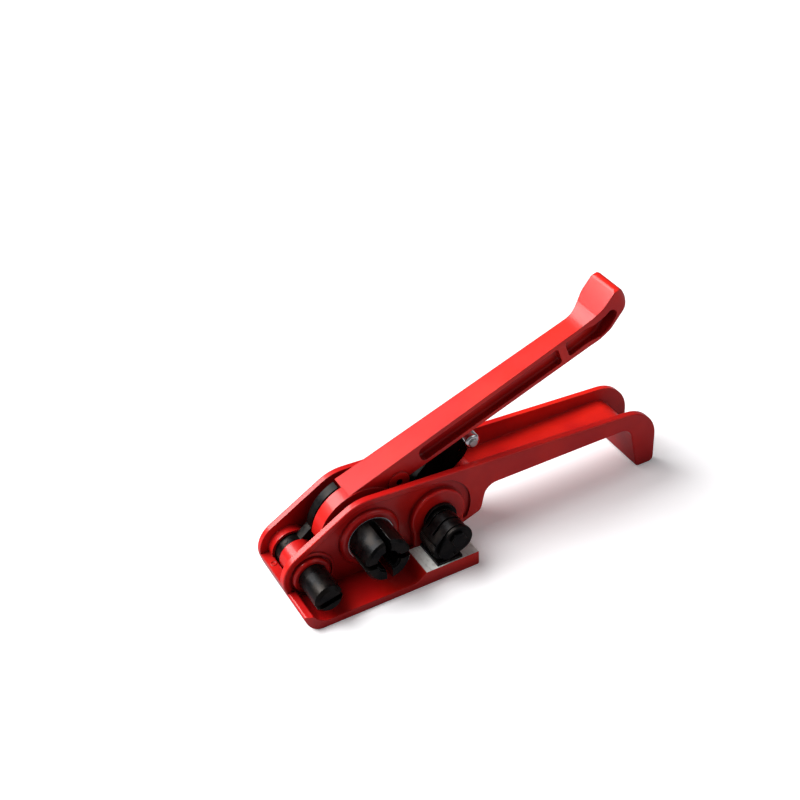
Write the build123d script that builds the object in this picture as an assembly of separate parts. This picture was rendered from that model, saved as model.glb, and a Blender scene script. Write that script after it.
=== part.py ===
from build123d import *
from math import cos, radians, sin
import os

# Hand strapping tensioner: a cast frame with a lower grip, a ratchet handle that turns a slotted
# windlass, a strap gripper with its release lever, and a cutter shaft worked by the handle.
#
# Units are millimetres.  +X runs from the nose to the handles, -Y is the working side where the
# strap lies, +Z is up.  The origin is on the sole, midway between the side walls, straight below
# the windlass axis.  All shafts run along Y, so most pieces are drawn as XZ outlines.

os.makedirs("parts", exist_ok=True)

# ---- driving dimensions ---------------------------------------------------------------------
RUN = 0.05                     # radial running clearance of every turning fit

wall_outer = 20.5              # outer face of each side wall, from the middle plane
wall_inner = 15.8
grip_bottom = 37.5             # underside of the lower grip
grip_floor = 41.5
nose_x = -58.7
block_rear_x = 66.0
hook_rear_x = 230.0
hook_front_x = 215.0
cavity_floor = 4.2             # between the walls
shelf_height, shelf_rear_x = 19.3, -56.4
floor_height = 5.3             # strap ledge beside the near wall
lip_height = 12.6              # upturned front end of the ledge
block_height = 11.0            # ground bed under the gripper
ledge_outer = 48.5
rim_width = 4.0                # border standing round the recessed side panels
panel_depth = 1.8
near_boss_height, far_boss_height = 1.9, 0.9
pad_x, pad_z, pad_radius = 50.2, 30.5, 20.5
pad_height = 3.0               # near-side pad behind the gripper

windlass_x, windlass_z = 0.0, 33.0
head_radius, head_end, head_root = 16.2, -47.4, -22.3
head_slot = 4.4
flange_radius = 16.9           # thin ring of the near bush round the head
near_journal_radius = 12.0
far_journal_radius = 9.0
hex_across_flats = 19.5
shaft_far_end = 25.0

tooth_count = 24
tooth_tip_radius, tooth_root_radius = 22.0, 18.8
wheel_near, wheel_far = -7.5, -3.0
tooth_phase = 1.5              # angle of one steep tooth face
pawl_gap = 3.5                 # play between that face and a pawl tip

handle_angle = 18.9            # slope of the raised handle
handle_half_width = 11.0       # at the root, tapering towards the tip
tip_half_width, crest_height = 13.2, 51.0
web_half_thickness = 3.2
drum_radius, drum_end_angle = 32.0, 174.0
low_cheek_radius = 25.0
drum_near, drum_far = -11.0, 0.6
slot_near, slot_far = -8.0, -2.5
handle_bottom, handle_top = 15.2, 31.8
far_hub_radius = 20.0

drive_pin_radius, drive_pin_r, drive_pin_angle = 2.3, 39.6, 43.9
holding_pin_radius, holding_pin_r, holding_pin_angle = 3.0, 29.5, -30.0
pawl_near, pawl_far = -7.6, -4.6
drive_pawl_lift = 8.6
holding_pawl_lift = 11.5
holding_tooth = -5             # teeth from the driving tooth to the held one

cutter_x, cutter_z = -43.5, 20.5
cutter_radius, cutter_end = 10.0, -48.2
arm_near, arm_far = 2.2, 9.0
arm_eye_radius = 12.0
arm_inner, arm_outer = 27.0, 31.8
arm_tip_angle, arm_root_angle = 108.2, 190.0

insert_x, insert_length = 44.6, 18.8
insert_near, insert_far = -47.3, -23.7
insert_bottom, insert_top = 6.5, 13.0
gripper_x, gripper_z = 50.5, 29.3
gripper_radius = 7.0
jaw_x, jaw_z, jaw_radius = 42.0, 22.1, 8.5
cam_near, cam_far = -45.4, -26.3
plate_thickness = 2.6
plate_screw_x, plate_screw_z = 48.0, 17.9
roller_x, roller_z, roller_radius = 86.0, 68.0, 5.8
lever_near, lever_far = -2.0, 6.0


# ---- small helpers --------------------------------------------------------------------------
def slab(outline, y_near, y_far):
    """Solid between two Y planes from an outline drawn in X and Z."""
    return extrude(Plane.XZ.offset(-y_far) * outline, y_far - y_near)


def disc(radius, x, z, y_near, y_far):
    """Cylinder along Y."""
    return slab(Pos(x, z) * Circle(radius), y_near, y_far)


def rounded(*corners):
    """Closed outline from (x, z, corner radius) triples."""
    face = make_face(Polyline([(x, z) for x, z, r in corners], close=True))
    for x, z, r in corners:
        if r > 0:
            face = fillet(face.vertices().sort_by_distance((x, z, 0))[0], r)
    return face


def polar(radius, angle):
    """Point at a radius and angle from the origin of an outline."""
    return (radius * cos(radians(angle)), radius * sin(radians(angle)))


def around_windlass(radius, angle):
    """Point at a radius and angle from the windlass axis."""
    x, z = polar(radius, angle)
    return (windlass_x + x, windlass_z + z)


def wedge(radius, start, stop):
    """Sector about the origin."""
    steps = max(2, round((stop - start) / 30) + 1)
    reach = radius / cos(radians((stop - start) / (steps - 1) / 2))
    angles = [start + (stop - start) * i / (steps - 1) for i in range(steps)]
    rim = [polar(reach, a) for a in angles]
    return make_face(Polyline([(0, 0)] + rim, close=True))


def ring_band(outer, inner, start, stop):
    """Part of a flat ring about the origin."""
    return (Circle(outer) - Circle(inner)) & wedge(outer * 1.2, start, stop)


def coil(radius, wire, turns, y_start, y_end, x, z, leg_start, leg_end):
    """Torsion spring along Y with one straight leg at each end."""
    pitch = (y_end - y_start) / turns
    helix = Helix(pitch=pitch, height=pitch * turns, radius=radius)
    path = (Plane((x, y_start, z), x_dir=(1, 0, 0), z_dir=(0, 1, 0)) * helix).edge()
    start, end = path @ 0, path @ 1
    tail = Line(start - (path % 0) * leg_start, start)
    lead = Line(end, end + (path % 1) * leg_end)
    section = Plane(tail @ 0, z_dir=tail % 0) * Circle(wire / 2)
    return sweep(section, Wire([tail, path, lead]), is_frenet=True, transition=Transition.ROUND)


def retaining_ring(shaft_radius, x, z, y_near, y_far):
    """E-shaped ring that snaps into a groove."""
    outline = Circle(shaft_radius + 3.2) - Circle(shaft_radius - 1.0)
    outline -= Pos(0, -shaft_radius) * Rectangle(shaft_radius * 1.1, shaft_radius * 2)
    return slab(Pos(x, z) * outline, y_near, y_far)


def soft_slab(outline, y_start, y_end, softness):
    """Solid from y_start to y_end, with the edge of its y_end face rounded."""
    body = slab(outline, min(y_start, y_end), max(y_start, y_end))
    faces = body.faces().sort_by(Axis.Y)
    return fillet((faces[-1] if y_end > y_start else faces[0]).edges(), softness)


# ---- frame casting --------------------------------------------------------------------------
side_outline = rounded(
    (nose_x, 0, 12), (-66.8, 30.1, 20), (-7.3, 64.6, 31), (hook_rear_x, 48.2, 26),
    (hook_rear_x, 0, 4), (hook_front_x, 0, 3), (208, grip_bottom, 10),
    (89.5, grip_bottom, 10), (85, 18, 5), (block_rear_x, block_height, 0), (block_rear_x, 0, 1),
)
inside = rounded(
    (-80, shelf_height, 0), (shelf_rear_x, shelf_height, 1), (shelf_rear_x, cavity_floor, 3),
    (61.5, cavity_floor, 4), (61.5, 14, 2), (80.5, 21, 4), (85.5, grip_floor, 6),
    (212.5, grip_floor, 14), (219.7, -5, 0), (250, -5, 0), (250, 90, 0), (-80, 90, 0),
)
frame = soft_slab(side_outline, 0, -wall_outer, 1.0) + soft_slab(side_outline, 0, wall_outer, 1.0)
frame -= slab(inside, -wall_inner, wall_inner)
frame += Pos(-59.6, 3.3, shelf_height) * (Cylinder(2.3, 0.7) - Cylinder(1.5, 0.7))

ledge = side_outline & rounded(
    (-80, -5, 0), (-80, lip_height, 0), (-56, lip_height, 1.2), (-51, floor_height, 11),
    (19, floor_height, 8), (26, block_height, 1), (block_rear_x, block_height, 0),
    (block_rear_x, -5, 0),
)
ledge = fillet(ledge.vertices().sort_by_distance((-62, lip_height, 0))[0], 1.8)
ledge_plan = rounded((-63, 0, 0), (-63, -ledge_outer, 8), (80, -ledge_outer, 0), (80, 0, 0))
frame += slab(ledge, -ledge_outer, -wall_inner) & extrude(ledge_plan, 20)

above_floor = Pos(0, floor_height + 50) * Rectangle(400, 100)
panel_end = Pos(pad_x, pad_z) * (Circle(pad_radius + 5.9) + Pos(-100, 0) * Rectangle(200, 100))
panel = offset(side_outline, -rim_width) & above_floor & panel_end
windlass_boss = Pos(windlass_x, windlass_z) * Circle(22.0)
cutter_boss = Pos(cutter_x, cutter_z) * Circle(13.5)
cutter_groove = Pos(cutter_x, cutter_z) * (Circle(15.2) - Circle(13.5))
cutter_ridge = Pos(cutter_x, cutter_z) * Circle(17.0)
for side, boss_height in ((-1, near_boss_height), (1, far_boss_height)):
    deep = side * (wall_outer - panel_depth)
    proud = side * (wall_outer + boss_height)
    frame -= slab(panel, *sorted((side * (wall_outer + 1), deep)))
    frame += soft_slab(cutter_ridge, deep, side * (wall_outer - 0.4), 0.8)
    frame -= slab(cutter_groove, *sorted((deep, proud)))
    frame += soft_slab(cutter_boss, deep - side, proud, 2.0)
    frame += soft_slab(windlass_boss, deep - side, proud, 3.0)
gripper_pad = Pos(pad_x, pad_z) * Circle(pad_radius)
gripper_pad += Pos(pad_x, (pad_z + floor_height) / 2) * Rectangle(38.5, pad_z - floor_height)
frame += soft_slab(gripper_pad, -wall_inner, -wall_outer - pad_height, 1.5)
gripper_boss = Pos(gripper_x, gripper_z) * Circle(15.0)
frame += soft_slab(gripper_boss, wall_inner, wall_outer + far_boss_height, 1.6)

frame += disc(17.5, windlass_x, windlass_z, -wall_inner, drum_near - 0.4)
frame += disc(17.5, windlass_x, windlass_z, 11.7, wall_inner)
frame += disc(12.5, cutter_x, cutter_z, -wall_inner, arm_near - 0.3)
spring_cup = Pos(cutter_x, cutter_z) * (Circle(14.2) - Circle(12.3))
frame += disc(14.2, cutter_x, cutter_z, wall_inner - 0.6, wall_inner)
frame += slab(spring_cup, arm_far + 0.4, wall_inner)
frame += disc(11.0, gripper_x, gripper_z, -wall_inner, -7.3)

pin_x, pin_z = around_windlass(holding_pin_r, holding_pin_angle)
frame += disc(6.5, pin_x, pin_z, -wall_inner, drum_near - 0.4)
frame += disc(6.5, pin_x, pin_z, 12.0, wall_inner)

frame -= disc(14.5, windlass_x, windlass_z, -30, 0)
frame -= disc(flange_radius + RUN, windlass_x, windlass_z, -30, -wall_outer - 0.4)
frame -= disc(11.0, windlass_x, windlass_z, 5, 30)
frame -= disc(cutter_radius + RUN, cutter_x, cutter_z, -30, 30)
frame -= disc(8.8, gripper_x, gripper_z, -30, 0)
frame -= disc(gripper_radius + RUN, gripper_x, gripper_z, 5, 30)
frame -= disc(holding_pin_radius, pin_x, pin_z, -18.5, 30)

# The drum's corner dips into this shallow recess at the end of its stroke.
drum_recess = Box(18, drum_far - drum_near + 2.4, 5, align=(Align.CENTER, Align.CENTER, Align.MIN))
frame -= Pos(-13, (drum_near + drum_far) / 2, 2.5) * drum_recess

upwards = (Align.CENTER, Align.CENTER, Align.MIN)
insert = Box(insert_length, insert_far - insert_near, insert_top - insert_bottom, align=upwards)
insert = Pos(insert_x, (insert_near + insert_far) / 2, insert_bottom) * insert
frame -= insert
screw_places = [(insert_x, -41.0), (insert_x, -29.6)]
for x, y in screw_places:
    frame -= Pos(x, y, 0) * Cylinder(2.0, 20, align=upwards)
    frame -= Pos(x, y, 0) * Cylinder(3.8, 3.4, align=upwards)

# ---- gripper bed insert ---------------------------------------------------------------------
groove = Rot(0, 45, 0) * Box(0.8, 60, 0.8)
groove_pitch = 2.2
for i in range(-4, 5):
    insert -= Pos(insert_x + groove_pitch * i, -35, insert_top) * groove
screws = []
for x, y in screw_places:
    insert -= Pos(x, y, 0) * Cylinder(2.0, insert_top - 2, align=upwards)
    screw = Pos(x, y, 0.6) * Cylinder(3.7, 2.8, align=upwards)
    screw += Pos(x, y, 0.6) * Cylinder(2.0, insert_top - 2.8, align=upwards)
    socket = extrude(Pos(x, y, 0.6) * RegularPolygon(1.6, 6), 1.6)
    screws.append(screw - socket)

# ---- windlass -------------------------------------------------------------------------------
shaft = disc(head_radius, windlass_x, windlass_z, head_end, head_root)
shaft = chamfer(shaft.faces().sort_by(Axis.Y)[0].edges(), 1.7)
shaft += disc(near_journal_radius, windlass_x, windlass_z, head_root, slot_near)
hexagon = RegularPolygon(hex_across_flats / 2, 6, major_radius=False)
shaft += slab(Pos(windlass_x, windlass_z) * hexagon, slot_near, slot_far)
shaft += disc(far_journal_radius, windlass_x, windlass_z, slot_far, shaft_far_end)
shaft -= disc(7.5, windlass_x, windlass_z, head_end, -25)
bore_mouth = disc(8.8, windlass_x, windlass_z, head_end, head_end + 1.3)
shaft -= bore_mouth
for angle in (0, 90):
    cross = Pos(windlass_x, windlass_z) * Rot(0, 0, angle) * Rectangle(head_slot, 60)
    shaft -= slab(cross, head_end, head_root - 1.8)
shaft -= slab(Pos(windlass_x, windlass_z) * (Circle(12) - Circle(8)), 23.0, 24.1)

near_bush = disc(flange_radius, windlass_x, windlass_z, -wall_outer - 1.6, -wall_outer - 0.4)
near_bush += disc(14.5, windlass_x, windlass_z, -wall_outer - 0.4, drum_near - 0.4)
near_bush -= disc(near_journal_radius + RUN, windlass_x, windlass_z, -30, 0)
far_bush = disc(11.0, windlass_x, windlass_z, 11.7, wall_outer + 0.9)
far_bush -= disc(far_journal_radius + RUN, windlass_x, windlass_z, 5, 30)

washer = disc(14.5, windlass_x, windlass_z, 21.6, 22.9)
washer -= disc(far_journal_radius + 0.2, windlass_x, windlass_z, 20, 24)
windlass_ring = retaining_ring(far_journal_radius, windlass_x, windlass_z, 23.0, 24.1)

teeth = []
for i in range(tooth_count):
    angle = tooth_phase + 360 / tooth_count * i
    teeth.append(around_windlass(tooth_tip_radius, angle))
    teeth.append(around_windlass(tooth_root_radius, angle))
wheel = slab(make_face(Polyline(teeth, close=True)), wheel_near, wheel_far)
wheel -= slab(Pos(windlass_x, windlass_z) * hexagon, wheel_near, wheel_far)

# ---- tension handle -------------------------------------------------------------------------
# Outlines of the handle are drawn along its own length, from the windlass axis.
beam = rounded(
    (0, handle_top, 0), (197, 35.8, 30), (225.5, 53.5, 4.5), (229.5, 36.5, 8), (198, 16.4, 25),
    (30, handle_bottom, 0), (18, 0, 0), (0, 0, 0),
)
plan = rounded(
    (-60, -handle_half_width, 0), (195, -7.85, 20), (210, -tip_half_width, 12),
    (230, -tip_half_width, 8), (230, tip_half_width, 8), (210, tip_half_width, 12),
    (195, 7.85, 20), (-60, handle_half_width, 0),
)
arched_tip = Rectangle(40, 80)
arched_tip = fillet(arched_tip.vertices().group_by(Axis.Y)[-1], 11)
arched_tip = Plane.YZ * Pos(0, crest_height - 40) * arched_tip
handle = slab(beam, -15, 15) & extrude(plan, 80) & extrude(arched_tip, 240, both=True)
long_pocket = rounded((56, 18.0, 4), (56, 29.6, 4.6), (172, 32.1, 2.2), (172, 19.2, 2.2))
end_pocket = rounded((178, 19.5, 2.2), (178, 32.3, 2.2), (201, 32.8, 8), (215, 40, 3.5),
                     (219.5, 34, 4), (204, 21.2, 12))
for side in (-1, 1):
    for pocket in (long_pocket, end_pocket):
        handle -= soft_slab(pocket, side * 15, side * web_half_thickness, 1.6)
handle -= slab(Rectangle(4.4, 80), drum_far, 20)

upper = Circle(drum_radius) & wedge(40, -handle_angle, drum_end_angle - handle_angle)
cheek = upper + Circle(low_cheek_radius)
drive_pin = Pos(*polar(drive_pin_r, drive_pin_angle - handle_angle))
handle += slab(drive_pin * Circle(7.5), -handle_half_width, handle_half_width)
handle += slab(cheek, drum_near, drum_far)
handle += slab(Circle(far_hub_radius), drum_far, 11.3)

handle -= slab(Circle(tooth_tip_radius + 1.0), slot_near, slot_far)
open_side = Rot(0, 0, -handle_angle) * wedge(38, drum_end_angle, 360)
pawl_slot = Rot(0, 0, -handle_angle) * rounded(
    (17, 14, 0), (21, 31, 2), (27, 36.5, 2), (37, 34, 2), (42, -6, 0), (17, -6, 0))
handle -= slab(open_side + pawl_slot, slot_near, slot_far)
handle -= disc(near_journal_radius + RUN, 0, 0, drum_near, slot_far)
handle -= disc(far_journal_radius + RUN, 0, 0, slot_far, 20)
handle -= slab(drive_pin * Circle(drive_pin_radius), -20, 4.0)
handle = Pos(windlass_x, 0, windlass_z) * Rot(0, -handle_angle, 0) * handle

# ---- ratchet pawls --------------------------------------------------------------------------
# Each pawl is drawn with its tip in front of a steep tooth face, then swung clear of the teeth.
def pawl(pin_r, pin_angle, pin_radius, tooth_angle, left, right, lift):
    pin = around_windlass(pin_r, pin_angle)
    outline = make_face(Polyline([
        around_windlass(tooth_root_radius + 1.5, tooth_angle + 0.5),
        around_windlass(tooth_tip_radius + 0.9, tooth_angle + 14.5),
        (pin[0] + left[0], pin[1] + left[1]),
        (pin[0] + right[0], pin[1] + right[1]),
        around_windlass(tooth_tip_radius + 5.0, tooth_angle + 2.0)], close=True))
    outline += Pos(*pin) * Circle(5.0)
    body = slab(outline, pawl_near, pawl_far) - disc(pin_radius + RUN, *pin, pawl_near, pawl_far)
    return body.rotate(Axis((pin[0], 0, pin[1]), (0, 1, 0)), -lift)


drive_x, drive_z = around_windlass(drive_pin_r, drive_pin_angle)
drive_pawl = pawl(drive_pin_r, drive_pin_angle, drive_pin_radius, tooth_phase + pawl_gap,
                  (-4.7, 1.0), (4.8, -1.0), drive_pawl_lift)
drive_pin_solid = disc(drive_pin_radius, drive_x, drive_z, -10.9, 4.0)
drive_spring = coil(3.4, 0.6, 1.5, -4.1, -3.05, drive_x, drive_z, 3, 3)

held_angle = tooth_phase + 360 / tooth_count * holding_tooth
holding_pawl = pawl(holding_pin_r, holding_pin_angle, holding_pin_radius, held_angle + pawl_gap,
                    (-1.0, 4.7), (1.0, -4.8), holding_pawl_lift)
holding_pin_solid = disc(holding_pin_radius, pin_x, pin_z, -18.4, 21.0)
holding_pin_solid = chamfer(holding_pin_solid.edges().group_by(Axis.Y)[-1], 0.5)
holding_spring = coil(4.0, 0.9, 3, 2.2, 5.4, pin_x, pin_z, 7, 7)

# ---- cutter ---------------------------------------------------------------------------------
cutter = disc(cutter_radius, cutter_x, cutter_z, cutter_end, 24.4)
cutter = chamfer(cutter.faces().sort_by(Axis.Y)[0].edges(), 2.4)
strap_slot = Pos(cutter_x, cutter_z) * Rot(0, 0, 12) * Pos(0, -0.9) * Rectangle(30, 4.4)
cutter -= slab(strap_slot, cutter_end, -23.2)
ring_groove = Circle(cutter_radius + 3) - Circle(cutter_radius - 1)
cutter -= slab(Pos(cutter_x, cutter_z) * ring_groove, 22.4, 23.5)
cutter_washer = disc(13.0, cutter_x, cutter_z, 21.5, 22.3)
cutter_washer -= disc(cutter_radius + 0.2, cutter_x, cutter_z, 20, 25)
cutter_ring = retaining_ring(cutter_radius, cutter_x, cutter_z, 22.4, 23.5)

arm = ring_band(arm_outer, arm_inner, arm_tip_angle, arm_root_angle)
arm -= make_face(Polyline([
    polar(arm_inner, arm_tip_angle + 10), polar(29.7, arm_tip_angle),
    polar(25, arm_tip_angle - 3), polar(25, arm_tip_angle + 10)], close=True))
arm += make_face(Polyline([(-31, 5.5), (-26.6, -4), (-36, -17), (-42, -3)], close=True))
arm = Pos(windlass_x, windlass_z) * arm + Pos(cutter_x, cutter_z) * Circle(arm_eye_radius)
cutter_arm = slab(arm, arm_near, arm_far)
arm_middle = (arm_near + arm_far) / 2
arm_pin_place = Plane((cutter_x, arm_middle, cutter_z), z_dir=(-0.45, 0, 0.9))
arm_pin = arm_pin_place * Cylinder(1.5, 12.4, align=upwards)
cutter_arm -= disc(cutter_radius, cutter_x, cutter_z, arm_near, arm_far) + arm_pin
cutter -= arm_pin
cutter_spring = coil(11.2, 1.2, 3, 10.1, 14.3, cutter_x, cutter_z, 2.5, 2.5)

# ---- gripper --------------------------------------------------------------------------------
gripper_shaft = disc(gripper_radius, gripper_x, gripper_z, cam_near, 24.4)
gripper_shaft -= slab(Pos(gripper_x, gripper_z) * (Circle(10) - Circle(6)), 22.4, 23.5)
gripper_shaft -= disc(2.5, gripper_x, gripper_z, cam_near, cam_near + 10)
gripper_bush = disc(12.0, gripper_x, gripper_z, cam_far + 0.3, -wall_outer - pad_height)
gripper_bush += disc(8.8, gripper_x, gripper_z, -wall_outer - pad_height, -7.3)
gripper_bush -= disc(gripper_radius + RUN, gripper_x, gripper_z, -30, 0)
gripper_washer = disc(10.5, gripper_x, gripper_z, 21.5, 22.3)
gripper_washer -= disc(gripper_radius + 0.2, gripper_x, gripper_z, 20, 25)
gripper_ring = retaining_ring(gripper_radius, gripper_x, gripper_z, 22.4, 23.5)

cam_hub = Pos(gripper_x, gripper_z) * Circle(9.6)
jaw = Pos(jaw_x, jaw_z) * Circle(jaw_radius)
cam = slab(make_hull(cam_hub.edges() + jaw.edges()), cam_near, cam_far)
groove_ring = Pos(gripper_x, gripper_z) * (Circle(13) - Circle(8.4))
groove_ring &= Pos(gripper_x + 4, gripper_z + 10) * Rectangle(40, 20)
for y_near, y_far in ((-38.4, -36.4), (-29.4, -28.2)):
    cam -= slab(groove_ring, y_near, y_far)
cam -= disc(gripper_radius, gripper_x, gripper_z, cam_near, cam_far)
for i in range(15):
    tooth_gap = Pos(jaw_x, jaw_z) * Rot(0, 0, 150 + 10 * i) * Pos(jaw_radius, 0) * Rot(0, 0, 45)
    cam -= slab(tooth_gap * Rectangle(0.95, 0.95), cam_near, cam_far)
plate_near = cam_near - plate_thickness
plate_circles = (Pos(51.3, 27.8) * Circle(10.4)).edges() + (Pos(44, 21.3) * Circle(7.3)).edges()
end_plate = slab(make_hull(plate_circles), plate_near, cam_near)
end_plate = chamfer(end_plate.faces().sort_by(Axis.Y)[0].edges(), 0.5)
end_plate -= disc(2.5, gripper_x, gripper_z, -50, -30)
end_screw = slab(Pos(gripper_x, gripper_z) * RegularPolygon(5.0, 6, major_radius=False),
                 plate_near - 2.6, plate_near)
end_screw = chamfer(end_screw.faces().sort_by(Axis.Y)[0].edges(), 0.6)
end_screw += disc(2.5, gripper_x, gripper_z, plate_near, cam_near + 9)
plate_screw = disc(1.6, plate_screw_x, plate_screw_z, plate_near - 0.3, cam_near + 6)
socket = Pos(plate_screw_x, plate_screw_z) * RegularPolygon(0.9, 6)
plate_screw -= slab(socket, plate_near - 0.3, plate_near + 1.2)
end_plate -= disc(1.6, plate_screw_x, plate_screw_z, -50, -30)
cam -= disc(1.6, plate_screw_x, plate_screw_z, cam_near, cam_near + 6)

lever = rounded(
    (39.5, 26, 6), (42, 48, 12), (58, 62.5, 18), (84.2, 72.4, 0), (89.5, 64.8, 0), (82.5, 53, 12),
    (66, 40, 14), (61.5, 22, 6), (49, 17.5, 6))
lever = slab(lever + Pos(roller_x, roller_z) * Circle(4.8), lever_near, lever_far)
lever += disc(11.0, gripper_x, gripper_z, -7.2, 7.2)
cross_place = Plane((gripper_x, 0, gripper_z), z_dir=(0.2, 0, -1))
cross_pin = cross_place * Cylinder(1.5, 21)
cross_pin = Pos(0, -4.6, 0) * cross_pin
lever -= disc(gripper_radius, gripper_x, gripper_z, -8, 8) + cross_pin
gripper_shaft -= cross_pin
lever -= disc(2.0, roller_x, roller_z, -20, 20)
roller_pin = disc(2.0, roller_x, roller_z, -9.0, 6.4)
pin_head = disc(3.2, roller_x, roller_z, -10.2, -9.0)
roller_pin += fillet(pin_head.faces().sort_by(Axis.Y)[0].edges(), 1.0)
roller = disc(roller_radius, roller_x, roller_z, -8.9, lever_near - 0.1)
roller = fillet(roller.faces().sort_by(Axis.Y)[0].edges(), 2.2)
roller -= disc(2.0 + RUN, roller_x, roller_z, -12, 0)
gripper_spring = coil(8.6, 1.5, 3, 8.6, 13.5, gripper_x, gripper_z, 12, 8)

# ---- files ----------------------------------------------------------------------------------
pieces = {
    "frame_casting": frame,
    "gripper_bed_insert": insert,
    "insert_screws": Compound(screws),
    "windlass_shaft": shaft,
    "windlass_near_bush": near_bush,
    "windlass_far_bush": far_bush,
    "windlass_washer": washer,
    "windlass_retaining_ring": windlass_ring,
    "ratchet_wheel": wheel,
    "tension_handle": handle,
    "drive_pawl": drive_pawl,
    "drive_pawl_pin": drive_pin_solid,
    "drive_pawl_spring": drive_spring,
    "holding_pawl": holding_pawl,
    "holding_pawl_pin": holding_pin_solid,
    "holding_pawl_spring": holding_spring,
    "cutter_shaft": cutter,
    "cutter_arm": cutter_arm,
    "cutter_arm_pin": arm_pin,
    "cutter_return_spring": cutter_spring,
    "cutter_washer": cutter_washer,
    "cutter_retaining_ring": cutter_ring,
    "gripper_shaft": gripper_shaft,
    "gripper_bush": gripper_bush,
    "gripper_washer": gripper_washer,
    "gripper_retaining_ring": gripper_ring,
    "gripper_cam": cam,
    "gripper_end_plate": end_plate,
    "gripper_end_screw": end_screw,
    "end_plate_screw": plate_screw,
    "release_lever": lever,
    "lever_cross_pin": cross_pin,
    "release_roller": roller,
    "roller_pin": roller_pin,
    "gripper_spring": gripper_spring,
}
for name, shape in pieces.items():
    export_step(shape, f"parts/{name}.step")
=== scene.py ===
import bpy
from math import cos, radians, sin
from mathutils import Matrix, Vector


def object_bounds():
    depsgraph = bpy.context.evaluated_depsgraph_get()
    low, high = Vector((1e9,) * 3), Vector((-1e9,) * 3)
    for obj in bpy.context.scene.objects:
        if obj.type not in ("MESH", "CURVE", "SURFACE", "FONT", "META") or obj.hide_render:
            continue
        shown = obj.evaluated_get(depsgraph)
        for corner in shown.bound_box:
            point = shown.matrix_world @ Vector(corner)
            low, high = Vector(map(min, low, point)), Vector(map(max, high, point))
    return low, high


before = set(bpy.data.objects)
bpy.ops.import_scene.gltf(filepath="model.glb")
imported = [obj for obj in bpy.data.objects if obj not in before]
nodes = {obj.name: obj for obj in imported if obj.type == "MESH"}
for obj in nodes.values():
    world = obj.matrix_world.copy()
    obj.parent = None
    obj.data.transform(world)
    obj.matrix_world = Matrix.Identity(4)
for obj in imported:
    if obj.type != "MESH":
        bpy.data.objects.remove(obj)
cad_low, cad_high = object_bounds()

MM = 0.001

# ---- colours (linear) -----------------------------------------------------------------------
SCARLET = (0.78, 0.015, 0.006, 1)
DEEP_RED = (0.57, 0.006, 0.005, 1)
# Deep red painted into corners and hollows as shade.
PAINTED_SHADE_RED = (0.24, 0.003, 0.004, 1)
# Lighter red of worn edges, partly a painted edge highlight.
WORN_AND_HIGHLIGHT_RED = (0.86, 0.050, 0.030, 1)
BLACKENED = (0.006, 0.006, 0.0065, 1)
BROWNED = (0.018, 0.015, 0.013, 1)
RUBBED_STEEL = (0.14, 0.135, 0.13, 1)
MILLED = (0.95, 0.95, 0.90, 1)
MILLED_DULL = (0.76, 0.75, 0.70, 1)
BARE = (0.66, 0.64, 0.60, 1)
BARE_DULL = (0.40, 0.38, 0.34, 1)
ZINC = (0.60, 0.60, 0.58, 1)
CHROME = (0.86, 0.86, 0.88, 1)
SPRING = (0.08, 0.078, 0.075, 1)
PAPER = (0.95, 0.945, 0.955, 1)
PAPER_BOUNCE = (0.54, 0.51, 0.55, 1)
PAPER_MIRRORED = (0.26, 0.25, 0.27, 1)
BACKDROP = (1.0, 0.96, 1.0, 1)

# ---- strengths of gloss and light -----------------------------------------------------------
ENAMEL_ROUGHNESS = (0.28, 0.36)
ENAMEL_SHEEN = 0.3
ENAMEL_COAT = 0.25
ENAMEL_COAT_ROUGHNESS = 0.09
MILLED_EXTRA_ROUGHNESS = 0.22
PAPER_ROUGHNESS = 0.75
PAPER_SHEEN = 0.2
PAPER_GLOW = 0.14
AMBIENT = 0.11


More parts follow.
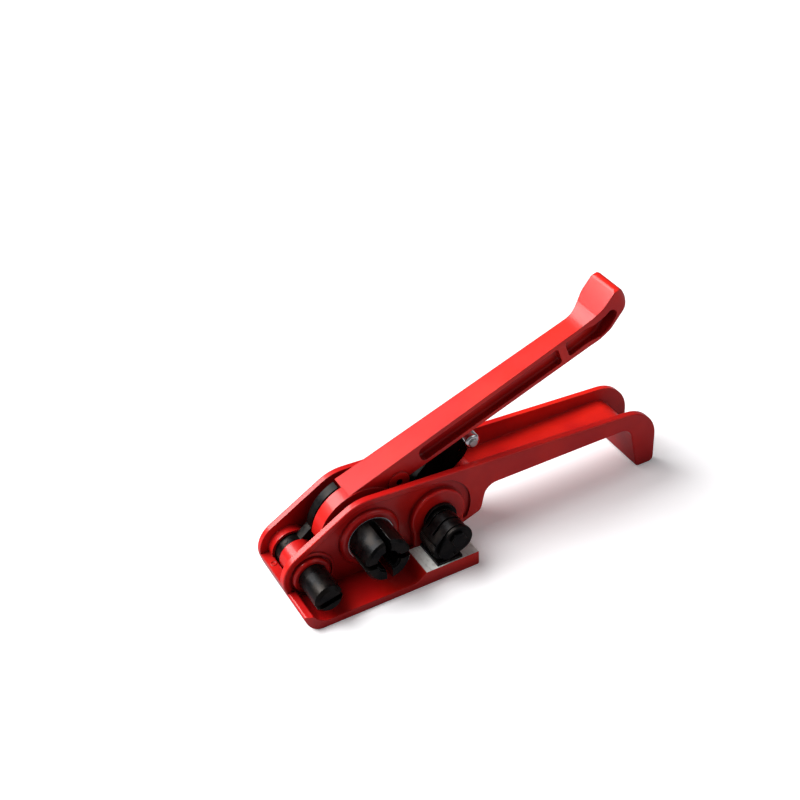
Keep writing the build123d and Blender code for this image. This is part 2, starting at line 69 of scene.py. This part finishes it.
# ---- finishes -------------------------------------------------------------------------------
class Finish:
    """A procedural material, wired by short calls.  Lengths are metres in the object's frame."""

    # Places of the colour sockets on the mix node, where several sockets share a name.
    COLOUR_A, COLOUR_B, COLOUR_RESULT = 6, 7, 2

    def __init__(self, name, metallic):
        self.material = bpy.data.materials.new(name)
        self.material.use_nodes = True
        self.nodes = self.material.node_tree.nodes
        self.links = self.material.node_tree.links
        self.nodes.clear()
        self.surface = self.nodes.new("ShaderNodeBsdfPrincipled")
        output = self.nodes.new("ShaderNodeOutputMaterial")
        self.links.new(self.surface.outputs["BSDF"], output.inputs["Surface"])
        self.place = self.nodes.new("ShaderNodeTexCoord").outputs["Object"]
        self.normal = None
        self.set("Metallic", metallic)

    def plug(self, socket, value):
        """Gives a socket a fixed value or another node's result."""
        if isinstance(value, bpy.types.NodeSocket):
            self.links.new(value, socket)
        else:
            socket.default_value = value

    def set(self, name, value):
        """Sets one property of the surface."""
        self.plug(self.surface.inputs[name], value)

    def noise(self, size, detail=3.0, stretch=(1, 1, 1)):
        """Noise whose blobs are about one size across, longer along axes stretched above 1."""
        mapping = self.nodes.new("ShaderNodeMapping")
        mapping.inputs["Scale"].default_value = [1 / s for s in stretch]
        self.links.new(self.place, mapping.inputs["Vector"])
        texture = self.nodes.new("ShaderNodeTexNoise")
        texture.inputs["Scale"].default_value = 0.5 / size
        texture.inputs["Detail"].default_value = detail
        self.links.new(mapping.outputs["Vector"], texture.inputs["Vector"])
        return texture.outputs["Fac"]

    def level(self, value, low, high, out_low=0.0, out_high=1.0):
        """Stretches the part of a value between low and high over the output range."""
        node = self.nodes.new("ShaderNodeMapRange")
        node.interpolation_type = "SMOOTHSTEP"
        self.plug(node.inputs["Value"], value)
        for name, number in (("From Min", low), ("From Max", high),
                             ("To Min", out_low), ("To Max", out_high)):
            node.inputs[name].default_value = number
        return node.outputs["Result"]

    def maths(self, operation, first, second):
        """Arithmetic on two values."""
        node = self.nodes.new("ShaderNodeMath")
        node.operation = operation
        self.plug(node.inputs[0], first)
        self.plug(node.inputs[1], second)
        return node.outputs["Value"]

    def product(self, first, *factors):
        """The first value multiplied by all the others."""
        total = first
        for factor in factors:
            total = self.maths("MULTIPLY", total, factor)
        return total

    def mix(self, first, second, share):
        """Goes from the first colour to the second as the share goes from 0 to 1."""
        node = self.nodes.new("ShaderNodeMix")
        node.data_type = "RGBA"
        self.plug(node.inputs["Factor"], share)
        self.plug(node.inputs[self.COLOUR_A], first)
        self.plug(node.inputs[self.COLOUR_B], second)
        return node.outputs[self.COLOUR_RESULT]

    def soften(self, radius):
        """Shades sharp edges as if rounded, and returns a mask of them."""
        bevel = self.nodes.new("ShaderNodeBevel")
        bevel.samples = 4
        bevel.inputs["Radius"].default_value = radius
        geometry = self.nodes.new("ShaderNodeNewGeometry")
        agreement = self.nodes.new("ShaderNodeVectorMath")
        agreement.operation = "DOT_PRODUCT"
        self.links.new(bevel.outputs["Normal"], agreement.inputs[0])
        self.links.new(geometry.outputs["Normal"], agreement.inputs[1])
        self.normal = bevel.outputs["Normal"]
        return self.level(agreement.outputs["Value"], low=0.985, high=0.80)

    def bump(self, height, depth, strength):
        """Adds relief to the softened surface, on top of the relief it has."""
        node = self.nodes.new("ShaderNodeBump")
        node.inputs["Distance"].default_value = depth
        node.inputs["Strength"].default_value = strength
        self.plug(node.inputs["Height"], height)
        self.links.new(self.normal, node.inputs["Normal"])
        self.normal = node.outputs["Normal"]
        self.set("Normal", self.normal)

    def between(self, axis, low, high, softness=0.3 * MM):
        """Mask of the part between two planes across an axis."""
        split = self.nodes.new("ShaderNodeSeparateXYZ")
        self.links.new(self.place, split.inputs["Vector"])
        value = split.outputs[axis]
        above = self.level(value, low - softness, low + softness)
        below = self.level(value, high + softness, high - softness)
        return self.product(above, below)

    def openness(self, reach):
        """1 on open faces, falling towards 0 in corners and hollows narrower than the reach."""
        node = self.nodes.new("ShaderNodeAmbientOcclusion")
        node.samples = 6
        node.inputs["Distance"].default_value = reach
        return node.outputs["AO"]

    def facing_up(self):
        """Mask of the level faces that look up."""
        geometry = self.nodes.new("ShaderNodeNewGeometry")
        split = self.nodes.new("ShaderNodeSeparateXYZ")
        self.links.new(geometry.outputs["Normal"], split.inputs["Vector"])
        return self.level(split.outputs["Z"], low=0.90, high=0.98)


def enamel(name, bare_area=None):
    """Glossy red enamel over a sand casting.  bare_area is the box that is milled after painting."""
    finish = Finish(name, metallic=0.0)
    edges = finish.soften(radius=0.8 * MM)
    clouds = finish.level(finish.noise(size=22 * MM), low=0.35, high=0.68)
    colour = finish.mix(DEEP_RED, SCARLET, clouds)
    # Painted shade: the enamel darkens towards deep red in corners and hollows narrower than the reach.
    open_share = finish.level(finish.openness(reach=32 * MM), low=0.20, high=0.95)
    colour = finish.mix(PAINTED_SHADE_RED, colour, open_share)
    # Lighter red on patches of the edges: worn thin enamel, and partly a painted highlight where rounded
    # edges catch light.
    rubbed = finish.level(finish.noise(size=3 * MM, detail=6), low=0.50, high=0.66)
    most_wear = 0.55
    colour = finish.mix(colour, WORN_AND_HIGHLIGHT_RED, finish.product(edges, rubbed, most_wear))
    smooth, rough = ENAMEL_ROUGHNESS
    roughness = finish.level(finish.noise(size=9 * MM, detail=2), 0.2, 0.8, smooth, rough)
    coat = ENAMEL_COAT
    if bare_area:
        low, high = bare_area
        milled = finish.facing_up()
        for axis in range(3):
            milled = finish.product(milled, finish.between(axis, low[axis], high[axis]))
        grain = finish.noise(size=1.1 * MM, detail=6, stretch=(1, 3, 1))
        metal = finish.mix(MILLED_DULL, MILLED, finish.level(grain, low=0.34, high=0.52))
        colour = finish.mix(colour, metal, milled)
        roughness = finish.maths("ADD", roughness, finish.product(milled, MILLED_EXTRA_ROUGHNESS))
        coat = finish.product(finish.maths("SUBTRACT", 1.0, milled), coat)
    finish.set("Base Color", colour)
    finish.set("Roughness", roughness)
    finish.set("Specular IOR Level", ENAMEL_SHEEN)
    finish.set("Coat Weight", coat)
    finish.set("Coat Roughness", ENAMEL_COAT_ROUGHNESS)
    finish.bump(finish.noise(size=16 * MM, detail=2), depth=0.4 * MM, strength=0.18)
    finish.bump(finish.noise(size=1.6 * MM, detail=3), depth=0.06 * MM, strength=0.35)
    return finish.material


def steel(name, dark, light, rubbed, roughness, metallic=0.85, turned=None, edge=0.35 * MM):
    """Metal with patches, rubbed edges, fine grain and, if turned, lathe marks across that axis."""
    finish = Finish(name, metallic)
    edges = finish.soften(radius=edge)
    patches = finish.level(finish.noise(size=5 * MM, detail=5), low=0.42, high=0.66)
    colour = finish.mix(dark, light, patches)
    contact = finish.level(finish.noise(size=1.5 * MM, detail=5), low=0.40, high=0.62)
    most_wear = 0.75
    finish.set("Base Color", finish.mix(colour, rubbed, finish.product(edges, contact, most_wear)))
    smooth, rough = roughness * 0.8, roughness * 1.3
    finish.set("Roughness", finish.level(finish.noise(size=2.5 * MM, detail=4), 0.3, 0.7, smooth, rough))
    if turned is not None:
        mark_length = 60.0
        stretch = [mark_length, mark_length, mark_length]
        stretch[turned] = 1.0
        marks = finish.noise(size=0.25 * MM, detail=2, stretch=stretch)
        finish.bump(marks, depth=0.02 * MM, strength=0.5)
    finish.bump(finish.noise(size=0.5 * MM, detail=4), depth=0.03 * MM, strength=0.4)
    return finish.material


# The milled bed round the gripper insert, beside the pad on the near wall.
bed_x = (26.2 * MM, 66.2 * MM)
bed_y = (-48.6 * MM, -23.2 * MM)
bed_height = 11.0 * MM
bed_tolerance = 0.4 * MM
bed_low = Vector((bed_x[0], bed_y[0], bed_height - bed_tolerance))
bed_high = Vector((bed_x[1], bed_y[1], bed_height + bed_tolerance))

Y_AXIS = 1
looks = {
    "red_frame": enamel("red_frame", (bed_low, bed_high)),
    "red": enamel("red_handle"),
    "black": steel("black_oxide", BLACKENED, BROWNED, RUBBED_STEEL, roughness=0.34),
    "black_turned": steel("black_oxide_turned", BLACKENED, BROWNED, RUBBED_STEEL,
                          roughness=0.32, turned=Y_AXIS),
    "bare": steel("bare_steel", BARE_DULL, BARE, CHROME, roughness=0.38, metallic=1.0),
    "bright": steel("bright_bush", CHROME, CHROME, CHROME, roughness=0.35, metallic=0.6),
    "zinc": steel("zinc_plate", ZINC, BARE, CHROME, roughness=0.33, metallic=1.0),
    "chrome": steel("chrome_roller", CHROME, CHROME, CHROME,
                    roughness=0.07, metallic=1.0, edge=0.2 * MM),
    "spring": steel("spring_steel", SPRING, BROWNED, RUBBED_STEEL, roughness=0.36, metallic=0.9),
}

# Pieces that are not listed here are zinc plated.
wearers = {
    "red_frame": ["frame_casting"],
    "red": ["tension_handle"],
    "black_turned": ["windlass_shaft", "cutter_shaft", "gripper_shaft", "gripper_bush"],
    "bright": ["windlass_near_bush", "windlass_far_bush"],
    "black": [
        "gripper_cam", "gripper_end_plate", "gripper_end_screw", "end_plate_screw",
        "gripper_bed_insert", "release_lever", "cutter_arm", "cutter_arm_pin",
        "drive_pawl", "drive_pawl_pin", "holding_pawl",
    ],
    "bare": ["ratchet_wheel"],
    "chrome": ["release_roller"],
    "spring": ["drive_pawl_spring", "holding_pawl_spring", "cutter_return_spring", "gripper_spring"],
}
look_of = {piece: look for look, pieces in wearers.items() for piece in pieces}
for name, node in nodes.items():
    node.data.materials.clear()
    node.data.materials.append(looks[look_of.get(name, "zinc")])

# ---- floor ----------------------------------------------------------------------------------
# White paper where it is seen, but greyer in the light that it throws back and in mirrors.
paper = Finish("paper", metallic=0.0)
ray = paper.nodes.new("ShaderNodeLightPath").outputs
bounced = paper.mix(PAPER_BOUNCE, PAPER_MIRRORED, ray["Is Glossy Ray"])
paper.set("Base Color", paper.mix(bounced, PAPER, ray["Is Camera Ray"]))
paper.set("Roughness", PAPER_ROUGHNESS)
paper.set("Specular IOR Level", PAPER_SHEEN)
paper.set("Emission Color", PAPER)
paper.set("Emission Strength", paper.product(ray["Is Camera Ray"], PAPER_GLOW))

floor_reach = 4.0
floor_gap = 0.1 * MM
corners = [(x * floor_reach, y * floor_reach, 0) for x, y in ((-1, -1), (1, -1), (1, 1), (-1, 1))]
floor_mesh = bpy.data.meshes.new("floor")
floor_mesh.from_pydata(corners, [], [(0, 1, 2, 3)])
floor_mesh.materials.append(paper.material)
floor = bpy.data.objects.new("floor", floor_mesh)
floor.location.z = cad_low.z - floor_gap
bpy.context.collection.objects.link(floor)


# ---- light ----------------------------------------------------------------------------------
def softbox(name, place, size, watts):
    """Square area light aimed at the middle of the tool."""
    light = bpy.data.lights.new(name, "AREA")
    light.size = size
    light.energy = watts
    lamp = bpy.data.objects.new(name, light)
    lamp.location = place
    aim = (cad_low + cad_high) / 2 - Vector(place)
    lamp.rotation_euler = aim.to_track_quat("-Z", "Y").to_euler()
    bpy.context.collection.objects.link(lamp)


softbox("key", place=(-1.3, 1.05, 2.05), size=2.3, watts=146)
softbox("fill", place=(0.9, -0.9, 0.9), size=1.0, watts=2)

# The backdrop is at full strength where it is seen, and lights the tool only faintly.
world = bpy.data.worlds.new("studio")
world.use_nodes = True
backdrop = world.node_tree.nodes["Background"]
backdrop.inputs["Color"].default_value = BACKDROP
seen = world.node_tree.nodes.new("ShaderNodeLightPath").outputs["Is Camera Ray"]
strength = world.node_tree.nodes.new("ShaderNodeMapRange")
strength.inputs["To Min"].default_value = AMBIENT
world.node_tree.links.new(seen, strength.inputs["Value"])
world.node_tree.links.new(strength.outputs["Result"], backdrop.inputs["Strength"])
bpy.context.scene.world = world
bpy.context.scene.view_settings.view_transform = "Standard"

# ---- camera ---------------------------------------------------------------------------------
azimuth, elevation, roll = radians(-27.0), radians(36.8), radians(-2.83)
target = Vector((0.0580, 0.0403, 0.0832))
distance = 0.9842
focal_length = 65.41
sensor_width = 36.0
back = Vector((sin(azimuth) * cos(elevation), -cos(azimuth) * cos(elevation), sin(elevation)))
level_right = Vector((cos(azimuth), sin(azimuth), 0))
level_up = back.cross(level_right)
right = cos(roll) * level_right + sin(roll) * level_up
up = cos(roll) * level_up - sin(roll) * level_right
camera_data = bpy.data.cameras.new("camera")
camera_data.lens = focal_length
camera_data.sensor_width = sensor_width
camera = bpy.data.objects.new("camera", camera_data)
turn = Matrix((right, up, back)).transposed().to_4x4()
camera.matrix_world = Matrix.Translation(target + back * distance) @ turn
bpy.context.collection.objects.link(camera)
bpy.context.scene.camera = camera
